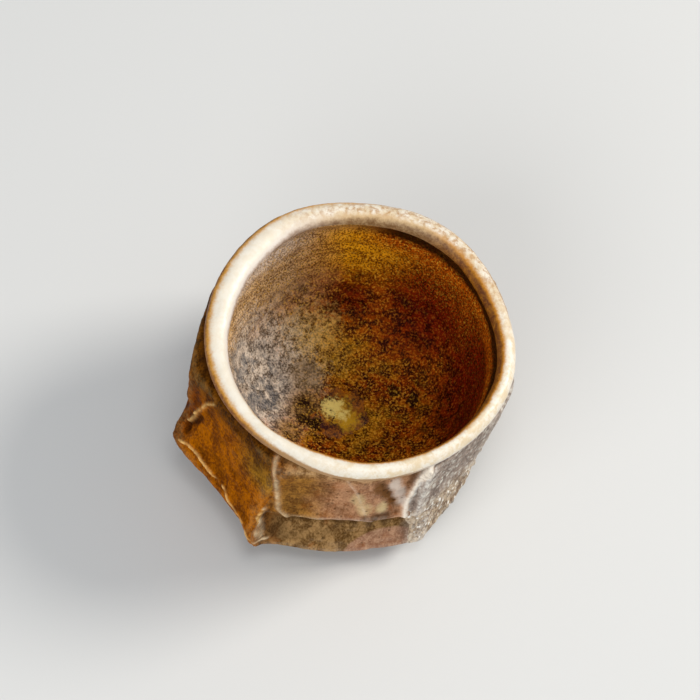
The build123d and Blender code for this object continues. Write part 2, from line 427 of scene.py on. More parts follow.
times, plus = partial(fold, "MULTIPLY"), partial(fold, "ADD")
minus, largest = partial(fold, "SUBTRACT"), partial(fold, "MAXIMUM")


def blendColour(tree, amount, a, b):
    node = tree.nodes.new("ShaderNodeMix")
    node.data_type = "RGBA"
    plug(tree, amount, node.inputs[0])
    plug(tree, a, node.inputs[6])
    plug(tree, b, node.inputs[7])
    return node.outputs[2]


def remap(tree, value, low, high, outLow=0.0, outHigh=1.0):
    node = tree.nodes.new("ShaderNodeMapRange")
    node.interpolation_type = "SMOOTHSTEP"
    for v, socket in zip((value, low, high, outLow, outHigh), node.inputs):
        plug(tree, v, socket)
    return node.outputs[0]


def noiseFor(tree, point, grain, detail=3.0, rough=0.55, warp=0.0):
    node = tree.nodes.new("ShaderNodeTexNoise")
    plug(tree, point, node.inputs["Vector"])
    scale = 1.0 / grain if isinstance(grain, (int, float)) else calc(tree, "DIVIDE", 1.0, grain)
    plug(tree, scale, node.inputs["Scale"])
    node.inputs["Detail"].default_value = detail
    node.inputs["Roughness"].default_value = rough
    node.inputs["Distortion"].default_value = warp
    return node.outputs["Fac"]


def tallPoint(tree, point, share):  # under 1 draws spots out up the wall, over 1 round it
    node = tree.nodes.new("ShaderNodeVectorMath")
    node.operation = "MULTIPLY"
    plug(tree, point, node.inputs[0])
    node.inputs[1].default_value = (1.0, 1.0, share)
    return node.outputs[0]


def colour(red, green, blue):  # a colour as it looks on screen, 0 to 255
    def linear(v):
        v = v / 255
        return v / 12.92 if v <= 0.04045 else ((v + 0.055) / 1.055) ** 2.4
    return (linear(red), linear(green), linear(blue))


def newGroup(name, inputs, outputs):
    # an input given a number is a float, and one given None is a vector
    tree = bpy.data.node_groups.new(name, "ShaderNodeTree")
    for label, value in inputs.items():
        kind = "NodeSocketVector" if value is None else "NodeSocketFloat"
        socket = tree.interface.new_socket(label, in_out="INPUT", socket_type=kind)
        if value is not None:
            socket.default_value = value
    for label in outputs:
        kind = "NodeSocketVector" if label == "Point" else "NodeSocketFloat"
        tree.interface.new_socket(label, in_out="OUTPUT", socket_type=kind)
    return tree, tree.nodes.new("NodeGroupInput").outputs, tree.nodes.new("NodeGroupOutput").inputs


def useGroup(tree, group, **values):
    node = tree.nodes.new("ShaderNodeGroup")
    node.node_tree = group
    for label, value in values.items():
        plug(tree, value, node.inputs[label])
    return node.outputs


def fadeOut(tree, value, put):  # full inside the group's reach, none outside it
    inner = minus(tree, put["Reach"], put["Feather"])
    outer = plus(tree, put["Reach"], put["Feather"])
    return remap(tree, value, outer, inner)


def readLayer(tree, key):  # a value that the mesh carries
    node = tree.nodes.new("ShaderNodeAttribute")
    node.attribute_name = key
    return node.outputs["Fac"]


# Place on the cup: millimetres, azimuth, radius and height
def makePlaceGroup():
    tree, _, out = newGroup("cupPlace", {}, ["Point", "Azimuth", "Radius", "Height"])
    where = tree.nodes.new("ShaderNodeTexCoord")
    scale = tree.nodes.new("ShaderNodeVectorMath")
    scale.operation = "SCALE"
    scale.inputs["Scale"].default_value = 1000
    tree.links.new(where.outputs["Object"], scale.inputs[0])
    split = tree.nodes.new("ShaderNodeSeparateXYZ")
    tree.links.new(scale.outputs[0], split.inputs[0])
    x, y, z = split.outputs
    turn = calc(tree, "ARCTAN2", x, times(tree, y, -1.0))
    reach = calc(tree, "SQRT", plus(tree, times(tree, x, x), times(tree, y, y)))
    for value, label in ((scale.outputs[0], "Point"), (calc(tree, "DEGREES", turn), "Azimuth"),
                         (reach, "Radius"), (z, "Height")):
        tree.links.new(value, out[label])
    return tree


# Side of the cup that the fire reached: a band of azimuths with a wandering edge
# It also places painted shadow and painted light in the bowl and on the rim
def makeSideBandGroup():
    tree, put, out = newGroup("sideBand", {"Point": None, "Azimuth": 0.0, "Centre": 0.0, "Reach": 40.0,
                                            "Feather": 15.0, "Wander": 20.0}, ["Mask"])
    gap = minus(tree, put["Azimuth"], put["Centre"])
    gap = calc(tree, "WRAP", gap, 180.0, -180.0)
    gap = calc(tree, "ABSOLUTE", gap)
    drift = minus(tree, noiseFor(tree, put["Point"], 7.0, 4.0, 0.6, 0.4), 0.5)
    gap = plus(tree, gap, times(tree, drift, put["Wander"]))
    tree.links.new(fadeOut(tree, gap, put), out["Mask"])
    return tree


# Blotches where ash melted thick and thin
# It also places the painted glints in the bowl
def makeMottleGroup():
    tree, put, out = newGroup("mottleMask", {"Point": None, "Grain": 3.0, "Level": 0.5, "Edge": 0.1}, ["Mask"])
    pattern = noiseFor(tree, put["Point"], put["Grain"], 5.0, 0.62, 0.3)
    low = minus(tree, put["Level"], put["Edge"])
    high = plus(tree, put["Level"], put["Edge"])
    tree.links.new(remap(tree, pattern, low, high), out["Mask"])
    return tree


# Separate grains of ash and feldspar, some cells only
def makeGrainGroup():
    tree, put, out = newGroup("ashGrains", {"Point": None, "Size": 0.5, "Share": 0.3, "Fill": 0.4}, ["Mask"])
    cells = tree.nodes.new("ShaderNodeTexVoronoi")
    tree.links.new(put["Point"], cells.inputs["Vector"])
    tree.links.new(calc(tree, "DIVIDE", 1.0, put["Size"]), cells.inputs["Scale"])
    pick = tree.nodes.new("ShaderNodeSeparateColor")
    tree.links.new(cells.outputs["Color"], pick.inputs[0])
    chosen = calc(tree, "LESS_THAN", pick.outputs[0], put["Share"])
    size = times(tree, put["Fill"], plus(tree, 0.5, pick.outputs[1]))
    dot = remap(tree, cells.outputs["Distance"], size, times(tree, size, 0.45))
    tree.links.new(times(tree, chosen, dot), out["Mask"])
    return tree


# Glaze break and painted highlight on edges, painted shade in hollows: reads the mesh's ridge, bead and
# hollow
def makeBreakShadingGroup():
    tree, put, out = newGroup("edgeBreakAndShading", {"Point": None, "Grain": 1.2}, ["Ridge", "Bead", "Hollow"])
    breakAndHighlight = noiseFor(tree, put["Point"], put["Grain"], 4.0, 0.6)
    breakAndHighlight = remap(tree, breakAndHighlight, 0.28, 0.62)
    beadBreakAndHighlight = remap(tree, breakAndHighlight, 0.0, 1.0, 0.55, 1.0)
    tree.links.new(times(tree, readLayer(tree, "ridge"), breakAndHighlight), out["Ridge"])
    tree.links.new(times(tree, readLayer(tree, "bead"), beadBreakAndHighlight), out["Bead"])
    tree.links.new(readLayer(tree, "hollow"), out["Hollow"])
    return tree


# Grit: fine and coarse noise together, stretched to full contrast
def makeGritGroup():
    tree, put, out = newGroup("gritTone", {"Point": None, "Fine": 0.45, "Coarse": 2.2, "Share": 0.5},
                              ["Tone"])
    fine = remap(tree, noiseFor(tree, put["Point"], put["Fine"], 2.0, 0.6), 0.34, 0.66)
    coarse = remap(tree, noiseFor(tree, put["Point"], put["Coarse"], 4.0, 0.6, 0.3), 0.36, 0.64)
    tone = tree.nodes.new("ShaderNodeMix")
    for value, socket in ((put["Share"], 0), (coarse, 2), (fine, 3)):
        tree.links.new(value, tone.inputs[socket])
    tree.links.new(remap(tree, tone.outputs[0], 0.0, 1.0), out["Tone"])
    return tree


# A cloud round one place on the cup, with a wandering edge
# It also places painted shadow along the front ledge and painted shade in the bowl
def makeCloudGroup():
    tree, put, out = newGroup("cloudAround", {"Point": None, "Centre": None, "Reach": 10.0,
                                            "Feather": 3.0, "Wander": 6.0}, ["Mask"])
    apart = tree.nodes.new("ShaderNodeVectorMath")
    apart.operation = "DISTANCE"
    tree.links.new(put["Point"], apart.inputs[0])
    tree.links.new(put["Centre"], apart.inputs[1])
    drift = noiseFor(tree, put["Point"], 5.0, 5.0, 0.62)
    dither = noiseFor(tree, put["Point"], 0.7, 3.0, 0.6)
    drift = minus(tree, plus(tree, drift, dither), 1.0)
    far = plus(tree, apart.outputs["Value"], times(tree, drift, put["Wander"]))
    tree.links.new(fadeOut(tree, far, put), out["Mask"])
    return tree


gritGroup = makeGritGroup()
cloudGroup = makeCloudGroup()
placeGroup = makePlaceGroup()
sideBandGroup = makeSideBandGroup()
mottleGroup = makeMottleGroup()
grainGroup = makeGrainGroup()
breakShadingGroup = makeBreakShadingGroup()
print("shared node groups ready")


# The numbers of an area: a side has its centre, reach, feather and wander in degrees, a cloud its middle,
# reach, feather and wander in millimetres, a mottle its grain, level and edge, and grains their size, share
# and fill
def sideMask(tree, place, centre, reach, feather, wander):
    return useGroup(tree, sideBandGroup, Point=place["Point"], Azimuth=place["Azimuth"], Centre=centre,
                    Reach=reach, Feather=feather, Wander=wander)["Mask"]


def cloudAround(tree, point, centre, reach, feather, wander):
    return useGroup(tree, cloudGroup, Point=point, Centre=centre,
                    Reach=reach, Feather=feather, Wander=wander)["Mask"]


def mottleMask(tree, point, grain, level, edge):
    return useGroup(tree, mottleGroup, Point=point, Grain=grain, Level=level, Edge=edge)["Mask"]


def ashGrains(tree, point, size, share, fill):
    return useGroup(tree, grainGroup, Point=point, Size=size, Share=share, Fill=fill)["Mask"]


def gritTone(tree, point, fine, coarse, share):
    return useGroup(tree, gritGroup, Point=point, Fine=fine, Coarse=coarse, Share=share)["Tone"]


def layPair(tree, both, look, area, mask, amount=1.0):  # dark and light tone of an area over those before
    if amount < 1.0:
        mask = times(tree, mask, amount)
    both[:] = [blendColour(tree, mask, old, new) for old, new in zip(both, look[area])]


def tint(tree, base, mask, shade, amount):
    return blendColour(tree, times(tree, mask, amount), base, shade)


# Pale glaze break on raised edges, with a painted highlight
def crestOf(tree, edge, share):  # raised edges: all of a bead, and a share of any other ridge
    return largest(tree, times(tree, edge["Ridge"], share), edge["Bead"])


# A look's relief is the grain, detail and roughness of a noise, and its bump is strength and millimetres
def finishSurface(tree, shader, look, base, rough, relief):
    tree.links.new(base, shader.inputs["Base Color"])
    tree.links.new(rough, shader.inputs["Roughness"])
    shader.inputs["Specular IOR Level"].default_value = look["gloss"]
    bump = tree.nodes.new("ShaderNodeBump")
    strength, distance = look["bump"]
    bump.inputs["Strength"].default_value = strength
    bump.inputs["Distance"].default_value = distance * mm
    tree.links.new(relief, bump.inputs["Height"])
    tree.links.new(bump.outputs["Normal"], shader.inputs["Normal"])


# Bare stoneware: dark and light tone of each area
clayLook = {
    "rough": (0.65, 0.82),
    "gloss": 0.03,
    "relief": (0.4, 4.0, 0.65),
    "bump": (0.5, 0.2),
    "ridgeShare": 0.12,
    "pink": (colour(138, 92, 60), colour(194, 144, 106)),
    "warm": (colour(112, 70, 22), colour(172, 120, 52)),
    "low": (colour(92, 62, 26), colour(166, 128, 80)),
    "sector": (colour(144, 100, 74), colour(190, 148, 116)),
    "top": (colour(120, 84, 46), colour(196, 156, 108)),
    "amber": (colour(66, 30, 2), colour(150, 86, 8)),
    "ash": (colour(110, 98, 88), colour(176, 164, 152)),
    "behind": (colour(96, 62, 32), colour(158, 116, 76)),
    "rust": colour(150, 80, 22),
    # pale glaze break on burrs, with a painted highlight on raised edges
    "pale": colour(255, 244, 226),
    "paleLeft": colour(244, 216, 172),
    "deep": colour(58, 36, 14),
    "lilac": colour(226, 208, 192),
    "beige": colour(226, 204, 150),
    "bark": colour(104, 62, 12),
    # stains beside the spur ridge, and painted shadow along the front ledge: middle, reach and strength of
    # each
    "stainsAndShadows": {
        "bark": [((10.2, -27.8, 34.2), 1.3, 0.8), ((11.8, -27.1, 31.0), 1.2, 0.8),
                 ((13.2, -26.7, 28.0), 1.0, 0.85)],
        "beige": [((6.6, -28.8, 29.0), 1.4, 0.4), ((8.4, -28.6, 24.6), 1.6, 0.45),
                  ((11.6, -27.7, 25.6), 1.2, 0.7)],
        "lilac": [((13.2, -26.6, 34.6), 1.3, 0.85), ((14.3, -26.1, 31.0), 1.3, 0.85),
                  ((15.2, -25.9, 27.0), 1.0, 0.85)],
        # painted shadow along the front ledge
        "deep": [((4.0, -28.0, 16.0), 1.0, 0.5), ((7.0, -27.4, 16.2), 1.2, 0.65),
                 ((10.0, -26.5, 16.0), 1.2, 0.75), ((13.0, -25.4, 15.4), 1.2, 0.75),
                 ((8.9, -28.5, 19.8), 0.9, 0.6), ((10.8, -28.1, 20.8), 1.1, 0.75),
                 ((12.7, -27.4, 21.2), 1.1, 0.75)],
    },
    "blotEdge": (0.7, 1.0),  # feather and wander
    "stretch": 0.5,           # spots drawn out up the wall
}


def makeClayMaterial():
    material, tree, shader = newMaterial("firedClay")
    look = clayLook
    place = useGroup(tree, placeGroup)
    point, azimuth, height = place["Point"], place["Azimuth"], place["Height"]
    edge = useGroup(tree, breakShadingGroup, Point=point, Grain=1.4)
    tall = tallPoint(tree, point, look["stretch"])
    tone = gritTone(tree, tall, 0.4, 2.2, 0.42)
    side = partial(sideMask, tree, place)
    both = list(look["behind"])
    lay = partial(layPair, tree, both, look)
    lay("pink", side(10.0, 60.0, 12.0, 20.0))
    lay("warm", side(-14.0, 13.0, 8.0, 16.0))
    lay("low", remap(tree, height, 18.6, 16.6))
    lay("top", times(tree, remap(tree, height, 35.5, 41.0), 0.85))
    lay("sector", cloudAround(tree, point, (14.6, -27.4, 3.0), 9.4, 0.5, 1.2))
    lay("amber", side(-72.0, 55.0, 5.0, 16.0))
    lay("ash", side(62.0, 25.0, 5.0, 10.0))
    lay("ash", side(80.0, 24.0, 14.0, 40.0))
    base = blendColour(tree, tone, *both)
    # stains beside the spur ridge, and painted shadow along the front ledge
    for shade, stainsAndShadows in look["stainsAndShadows"].items():
        for (x, y, z), reach, amount in stainsAndShadows:
            blot = cloudAround(tree, tall, (x, y, look["stretch"] * z), reach, *look["blotEdge"])
            base = tint(tree, base, blot, look[shade], amount)
    stain = mottleMask(tree, tall, 3.0, 0.62, 0.08)
    base = tint(tree, base, stain, look["rust"], 0.35)
    darkSpeck = ashGrains(tree, point, 0.8, 0.14, 0.42)
    base = tint(tree, base, darkSpeck, look["deep"], 0.6)
    # painted shade in the hollows of the cut wall
    base = tint(tree, base, edge["Hollow"], look["deep"], 0.55)
    # pale glaze break on burrs, with a painted highlight on burrs and raised edges
    paintedCrestHighlight = crestOf(tree, edge, look["ridgeShare"])
    pale = blendColour(tree, remap(tree, azimuth, -18.0, 16.0), look["paleLeft"], look["pale"])
    base = blendColour(tree, times(tree, paintedCrestHighlight, 0.9), base, pale)
    rough = remap(tree, tone, 0.0, 1.0, *look["rough"])
    finishSurface(tree, shader, look, base, rough, noiseFor(tree, point, *look["relief"]))
    return material


# Pale coat over the lip
rimLook = {
    "white": colour(236, 228, 212),
    "cream": colour(222, 202, 168),
    "tan": colour(178, 128, 70),
    # where the coat thins: the first colour to show through, and the last
    "front": (colour(170, 130, 84), colour(170, 130, 84)),
    "left": (colour(214, 150, 48), colour(112, 60, 8)),
    "right": (colour(222, 212, 198), colour(222, 212, 198)),
    "inBack": (colour(206, 174, 128), colour(126, 90, 50)),
    "inRight": (colour(196, 128, 22), colour(96, 46, 4)),
    "inLeft": (colour(232, 222, 210), colour(188, 164, 144)),
    "shows": ((0.02, 0.66), (0.5, 1.0)),
    "fray": 0.95,
    "gloss": 0.35,
    "coat": 0.12,
    "coatRough": 0.3,
    "relief": (0.6, 3.0, 0.6),
    "bump": (0.25, 0.15),
}


def makeRimMaterial():
    material, tree, shader = newMaterial("rimGlaze")
    look = rimLook
    place = useGroup(tree, placeGroup)
    point = place["Point"]
    side = partial(sideMask, tree, place)
    tone = gritTone(tree, point, 0.5, 2.4, 0.3)
    base = blendColour(tree, tone, look["cream"], look["white"])
    # whiter glaze on the left, with a painted highlight there
    bright = side(-70.0, 70.0, 25.0, 10.0)
    base = tint(tree, base, bright, look["white"], 0.7)
    specks = mottleMask(tree, point, 1.0, 0.53, 0.12)
    freckled = times(tree, specks, side(165.0, 50.0, 26.0, 20.0))
    base = tint(tree, base, freckled, look["tan"], 0.8)
    coarse = noiseFor(tree, point, 1.6, 4.0, 0.6)
    fine = noiseFor(tree, point, 0.45, 2.0, 0.6)
    ragged = minus(tree, plus(tree, times(tree, coarse, 0.6), times(tree, fine, 0.4)), 0.5)
    thin = plus(tree, readLayer(tree, "edge"), times(tree, ragged, look["fray"]))
    outside, inside = list(look["front"]), list(look["inBack"])
    layPair(tree, outside, look, "left", side(-100.0, 72.0, 14.0, 12.0))
    layPair(tree, outside, look, "right", side(72.0, 38.0, 10.0, 10.0))
    layPair(tree, inside, look, "inRight", side(66.0, 88.0, 16.0, 12.0))
    layPair(tree, inside, look, "inLeft", side(-96.0, 50.0, 20.0, 12.0))
    inner = readLayer(tree, "inner")
    for shows, out, within in zip(look["shows"], outside, inside):
        under = blendColour(tree, inner, out, within)
        base = blendColour(tree, remap(tree, thin, *shows), base, under)
    rough = remap(tree, thin, 0.2, 0.9, 0.4, 0.6)
    finishSurface(tree, shader, look, base, rough, noiseFor(tree, point, *look["relief"]))
    shader.inputs["Coat Weight"].default_value = look["coat"]
    shader.inputs["Coat Roughness"].default_value = look["coatRough"]
    return material


# Ash-glazed bowl: dark and light tone of each area
bowlLook = {
    "rough": (0.42, 0.62),
    "gloss": 0.03,
    "relief": (0.45, 4.0, 0.65),
    "bump": (0.6, 0.22),
    "amber": (colour(110, 54, 2), colour(240, 166, 22)),
    "brown": (colour(70, 24, 2), colour(190, 100, 8)),
    # red glaze, painted darker for the shade on the right and back wall
    "red": (colour(34, 2, 1), colour(124, 24, 1)),
    "rust": (colour(60, 10, 1), colour(156, 54, 1)),
    "floor": (colour(42, 8, 1), colour(168, 70, 1)),
    "gold": (colour(76, 36, 2), colour(236, 178, 36)),
    "straw": (colour(126, 88, 30), colour(248, 216, 142)),
    "band": (colour(116, 84, 50), colour(226, 192, 146)),
    # pale glaze with a painted sheen
    "shelf": (colour(172, 146, 122), colour(244, 230, 214)),
    "lip": (colour(120, 76, 24), colour(222, 170, 96)),
    "taupe": (colour(108, 86, 56), colour(176, 150, 116)),
    "olive": (colour(76, 48, 10), colour(176, 130, 58)),
    "ash": (colour(92, 76, 60), colour(230, 214, 194)),
    # painted shadow under the lip
    "groove": (colour(20, 7, 1), colour(64, 28, 4)),
    # amber glaze, with painted light
    "stripe": (colour(92, 32, 1), colour(180, 84, 4)),
    "cool": colour(66, 76, 86),
    "deep": colour(30, 7, 1),
    # painted glints
    "paintedGlint": colour(236, 180, 60),
    "spots": [(-8.4, -5.3, 11.1), (-6.2, -5.3, 10.9), (-4.4, -5.8, 10.8),
              (9.5, 5.6, 11.6), (13.5, 4.0, 12.6), (-8.7, -1.6, 11.1)],
}


def makeBowlMaterial():
    material, tree, shader = newMaterial("bowlGlaze")
    look = bowlLook
    place = useGroup(tree, placeGroup)
    point, height, radius = place["Point"], place["Height"], place["Radius"]
    wallTone = gritTone(tree, tallPoint(tree, point, 0.7), 0.36, 2.6, 0.78)
    wallTone = remap(tree, wallTone, 0.05, 0.95)
    level = tallPoint(tree, point, 4.0)  # streaks that run round with the throwing
    streak = remap(tree, noiseFor(tree, level, 6.0, 4.0, 0.62, 0.3), 0.34, 0.66)
    wallTone = plus(tree, times(tree, wallTone, 0.84), times(tree, streak, 0.16))
    floorTone = gritTone(tree, point, 0.45, 2.0, 0.5)
    low = remap(tree, height, 29.0, 17.0)
    tone = plus(tree, wallTone, times(tree, low, minus(tree, floorTone, wallTone)))
    side = partial(sideMask, tree, place)
    cloud = partial(cloudAround, tree, point)
    both = list(look["amber"])
    lay = partial(layPair, tree, both, look)
    drift = noiseFor(tree, point, 6.0, 4.0, 0.6)
    dither = noiseFor(tree, point, 0.7, 3.0, 0.6)
    drift = times(tree, minus(tree, plus(tree, drift, dither), 1.0), 10.0)
    lay("brown", remap(tree, plus(tree, height, drift), 30.0, 19.0))
    # red glaze on the right and back wall, painted darker there for the shade that wall is in
    redFlushAndShade = largest(tree, cloud((12.0, 18.0, 21.0), 11.0, 8.0, 15.0),
                    cloud((22.0, 3.0, 24.0), 14.0, 7.0, 13.0), cloud((-3.0, 20.6, 19.0), 5.5, 4.5, 12.0))
    rusty = times(tree, side(112.0, 58.0, 16.0, 18.0), remap(tree, height, 16.0, 22.0))
    lay("rust", rusty, 0.85)
    lay("red", redFlushAndShade, 0.95)
    lay("floor", remap(tree, plus(tree, radius, drift), 22.0, 12.0))
    patches = mottleMask(tree, point, 4.5, 0.54, 0.09)
    lay("gold", times(tree, patches, remap(tree, radius, 20.0, 12.0)), 0.42)
    lay("brown", times(tree, side(10.0, 50.0, 18.0, 16.0), remap(tree, radius, 17.0, 23.0)), 0.6)
    lay("straw", cloud((-11.5, 10.5, 14.0), 7.0, 4.5, 12.0), 0.95)
    lay("gold", cloud((-5.0, 10.0, 13.0), 6.0, 4.5, 13.0), 0.6)
    lay("gold", cloud((3.5, -3.5, 10.5), 5.0, 3.5, 10.0), 0.5)
    lay("lip", times(tree, side(-168.0, 34.0, 16.0, 14.0), remap(tree, height, 36.5, 41.0)), 0.85)
    banded = remap(tree, plus(tree, height, drift), 15.0, 23.0)
    lay("band", times(tree, side(-108.0, 42.0, 18.0, 18.0), banded), 0.9)
    # pale glaze under the lip on the left, with a painted sheen
    lay("shelf", times(tree, side(-98.0, 42.0, 16.0, 12.0), remap(tree, height, 31.0, 38.0)), 0.9)
    ashy = cloud((-18.5, 0.5, 16.0), 12.0, 6.0, 12.0)
    lay("ash", ashy)
    lay("olive", cloud((-7.8, -2.4, 11.0), 4.4, 2.2, 6.0), 0.8)
    lay("olive", cloud((-10.2, -9.0, 12.2), 2.8, 1.8, 4.0), 0.75)
    lay("taupe", cloud((-9.6, 4.6, 11.6), 3.4, 1.4, 3.0), 0.75)
    hem = side(126.0, 60.0, 14.0, 10.0)
    # amber glaze below the groove, with painted light where the wall catches it
    lay("stripe", times(tree, hem, remap(tree, height, 31.5, 36.0)))
    # painted shadow under the lip on the right and back
    ridgeDrift = plus(tree, height, times(tree, drift, 0.12))
    groove = times(tree, remap(tree, ridgeDrift, 36.8, 39.0), remap(tree, ridgeDrift, 43.8, 42.0))
    groove = times(tree, hem, groove)
    lay("groove", groove)
    base = blendColour(tree, tone, *both)
    cool = mottleMask(tree, point, 3.6, 0.52, 0.07)
    cool = times(tree, cool, cloud((-20.0, -3.0, 17.0), 9.0, 3.0, 6.0))
    base = tint(tree, base, cool, look["cool"], 0.6)
    clot = mottleMask(tree, point, 4.2, 0.61, 0.1)
    clot = times(tree, clot, times(tree, low, remap(tree, ashy, 0.0, 1.0, 0.8, 0.35)))
    base = blendColour(tree, clot, base, look["deep"])
    pepper = mottleMask(tree, point, 0.9, 0.58, 0.06)
    base = blendColour(tree, times(tree, times(tree, pepper, low), 0.18), base, look["deep"])
    for centre in look["spots"]:
        spot = cloud(centre, 1.4, 0.35, 3.0)
        base = tint(tree, base, spot, look["deep"], 0.9)
    # painted glints on grains of the glaze
    paintedGlint = mottleMask(tree, point, 0.45, 0.575, 0.05)
    paintedGlint = times(tree, paintedGlint, remap(tree, redFlushAndShade, 0.0, 1.0, 0.55, 0.12))
    paintedGlint = times(tree, paintedGlint, remap(tree, largest(tree, groove, ashy), 0.0, 1.0, 1.0, 0.1))
    base = blendColour(tree, paintedGlint, base, look["paintedGlint"])
    rough = remap(tree, tone, 0.0, 1.0, *look["rough"])
    finishSurface(tree, shader, look, base, rough, noiseFor(tree, point, *look["relief"]))
    return material


# Yellow glass in the bottom of the bowl
poolLook = {
    "rough": (0.5, 0.26),
    "gloss": 0.2,
    "relief": (0.6, 4.0, 0.6),
    "bump": (0.3, 0.15),
    "cream": colour(246, 224, 128),
    "yellow": colour(212, 162, 18),
    "brown": (colour(42, 10, 1), colour(170, 98, 6)),
    "deep": colour(56, 8, 2),
}


def makePoolMaterial():
    material, tree, shader = newMaterial("poolGlass")
    look = poolLook
    place = useGroup(tree, placeGroup)
    point = place["Point"]
    cloud = partial(cloudAround, tree, point)
    tone = gritTone(tree, point, 0.42, 2.0, 0.5)
    base = blendColour(tree, tone, *look["brown"])
    glass = largest(tree, cloud((-1.2, -1.8, 10.8), 2.8, 1.8, 6.5), cloud((1.2, -3.0, 10.8), 2.4, 1.8, 6.5))
    base = blendColour(tree, glass, base, look["yellow"])
    milk = largest(tree, cloud((-2.6, -1.0, 10.8), 2.3, 0.8, 4.5), cloud((-0.4, -1.9, 10.8), 1.3, 1.0, 4.5))
    base = blendColour(tree, milk, base, look["cream"])
    clot = mottleMask(tree, point, 1.6, 0.52, 0.05)
    base = blendColour(tree, times(tree, clot, cloud((-3.8, -4.6, 10.8), 3.2, 0.8, 2.0)), base, look["deep"])
    rough = remap(tree, glass, 0.0, 1.0, *look["rough"])
    finishSurface(tree, shader, look, base, rough, noiseFor(tree, point, *look["relief"]))
    return material


# Amber coat on the left-hand cuts
amberLook = {
    "rough": (0.4, 0.55),
    "gloss": 0.01,
    "relief": (0.6, 4.0, 0.6),
    "bump": (0.4, 0.2),
    "ridgeShare": 0.12,
    "front": (colour(108, 52, 0), colour(176, 98, 0)),
    "side": (colour(66, 26, 0), colour(130, 64, 0)),
    "top": (colour(50, 24, 0), colour(114, 66, 8)),
    "olive": (colour(84, 50, 10), colour(158, 110, 30)),
    "deep": colour(44, 18, 2),
    # pale glaze break with a painted highlight on raised edges
    "pale": colour(250, 204, 128),
}


def makeAmberMaterial():
    material, tree, shader = newMaterial("amberGlaze")
    look = amberLook
    place = useGroup(tree, placeGroup)
    point, azimuth, height = place["Point"], place["Azimuth"], place["Height"]
    edge = useGroup(tree, breakShadingGroup, Point=point, Grain=1.2)
    tall = tallPoint(tree, point, 0.5)
    tone = gritTone(tree, tall, 0.4, 2.0, 0.5)
    both = list(look["front"])
    lay = partial(layPair, tree, both, look)
    lay("olive", times(tree, remap(tree, azimuth, -42.0, -26.0), remap(tree, height, 22.0, 30.0)))
    lay("side", remap(tree, azimuth, -57.0, -63.0))
    lay("top", remap(tree, height, 31.0, 39.0))
    base = blendColour(tree, tone, *both)
    clot = mottleMask(tree, tall, 1.6, 0.6, 0.07)
    base = tint(tree, base, clot, look["deep"], 0.28)
    # painted shade in the hollows
    base = tint(tree, base, edge["Hollow"], look["deep"], 0.75)
    # pale glaze break with a painted highlight on raised edges
    light = crestOf(tree, edge, look["ridgeShare"])
    base = tint(tree, base, light, look["pale"], 0.8)
    rough = remap(tree, tone, 0.0, 1.0, *look["rough"])
    finishSurface(tree, shader, look, base, rough, noiseFor(tree, point, *look["relief"]))
    return material


# Rough ash on the right-hand cuts
crustLook = {
    "rough": (0.6, 0.85),
    "gloss": 0.25,
    "relief": (0.5, 4.0, 0.7),
    "crumbRise": 0.8,
    "bump": (0.6, 0.3),
    "ridgeShare": 0.45,
    "upper": (colour(112, 94, 82), colour(176, 158, 144)),
    "lower": (colour(110, 80, 52), colour(206, 184, 156)),
    "pearl": colour(236, 230, 216),
    "white": colour(250, 244, 234),
    "dark": colour(70, 50, 34),
}


def makeCrustMaterial():
    material, tree, shader = newMaterial("ashCrust")
    look = crustLook
    place = useGroup(tree, placeGroup)
    point, height = place["Point"], place["Height"]
    edge = useGroup(tree, breakShadingGroup, Point=point, Grain=0.8)
    tall = tallPoint(tree, point, 0.55)
    tone = gritTone(tree, tall, 0.5, 2.2, 0.5)
    ragged = times(tree, minus(tree, noiseFor(tree, point, 3.0, 4.0, 0.6), 0.5), 8.0)
    low = remap(tree, plus(tree, height, ragged), 24.0, 17.0)
    both = list(look["upper"])
    layPair(tree, both, look, "lower", low)
    base = blendColour(tree, tone, *both)
    pits = ashGrains(tree, tall, 0.8, 0.3, 0.45)
    base = blendColour(tree, times(tree, pits, times(tree, low, 0.6)), base, look["dark"])
    flake = ashGrains(tree, tall, 0.95, 0.6, 0.6)
    flake = times(tree, flake, remap(tree, noiseFor(tree, point, 2.6, 3.0, 0.6), 0.36, 0.62, 0.25, 1.0))
    base = blendColour(tree, times(tree, flake, remap(tree, low, 0.0, 1.0, 0.75, 0.3)), base, look["pearl"])
    crumb = ashGrains(tree, tall, 0.7, 0.34, 0.48)
    base = blendColour(tree, times(tree, crumb, remap(tree, low, 0.0, 1.0, 0.15, 0.95)), base, look["white"])
    # painted shade in the hollows
    base = tint(tree, base, edge["Hollow"], look["dark"], 0.15)
    # white ash on raised edges, with a painted highlight
    top = crestOf(tree, edge, look["ridgeShare"])
    base = tint(tree, base, top, look["white"], 0.9)
    rough = remap(tree, tone, 0.0, 1.0, *look["rough"])
    relief = plus(tree, noiseFor(tree, point, *look["relief"]), times(tree, crumb, look["crumbRise"]))
    finishSurface(tree, shader, look, base, rough, relief)
    return material


def seat(piece, material, node):
    piece.data.materials.append(material)
    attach(piece, "root")
    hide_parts(node)


# Lip and bowl: radius and height along the profile
lipForm = {
    "thick": 4.1,
    "thickSwing": 0.85,      # thicker at the back left, thinner at the front right
    "thickAt": -150.0,
    "swells": [(0.65, 0, 22), (-0.55, -27, 15), (-0.3, 48, 18), (0.5, -120, 15)],  # out, azimuth, spread
    "wave": 0.28,            # rise and fall of the rim
    "drop": 0.2,             # its mean, below the cup's height
    "rise": 2.1,             # height of the lip's round
    "floor": 10.5,           # glazed floor
    "wall": 26.9,            # bowl's radius under the lip
    "wallLean": 0.7,
    "floorCurve": 3.5,       # how early the wall turns into the floor
    "grooveEnd": 35.9,
    "grooveShare": 0.2,      # part of the profile that the throwing groove takes up
    "floorReach": 15.5,
    "groove": 0.5,
    "coat": 0.5,
}


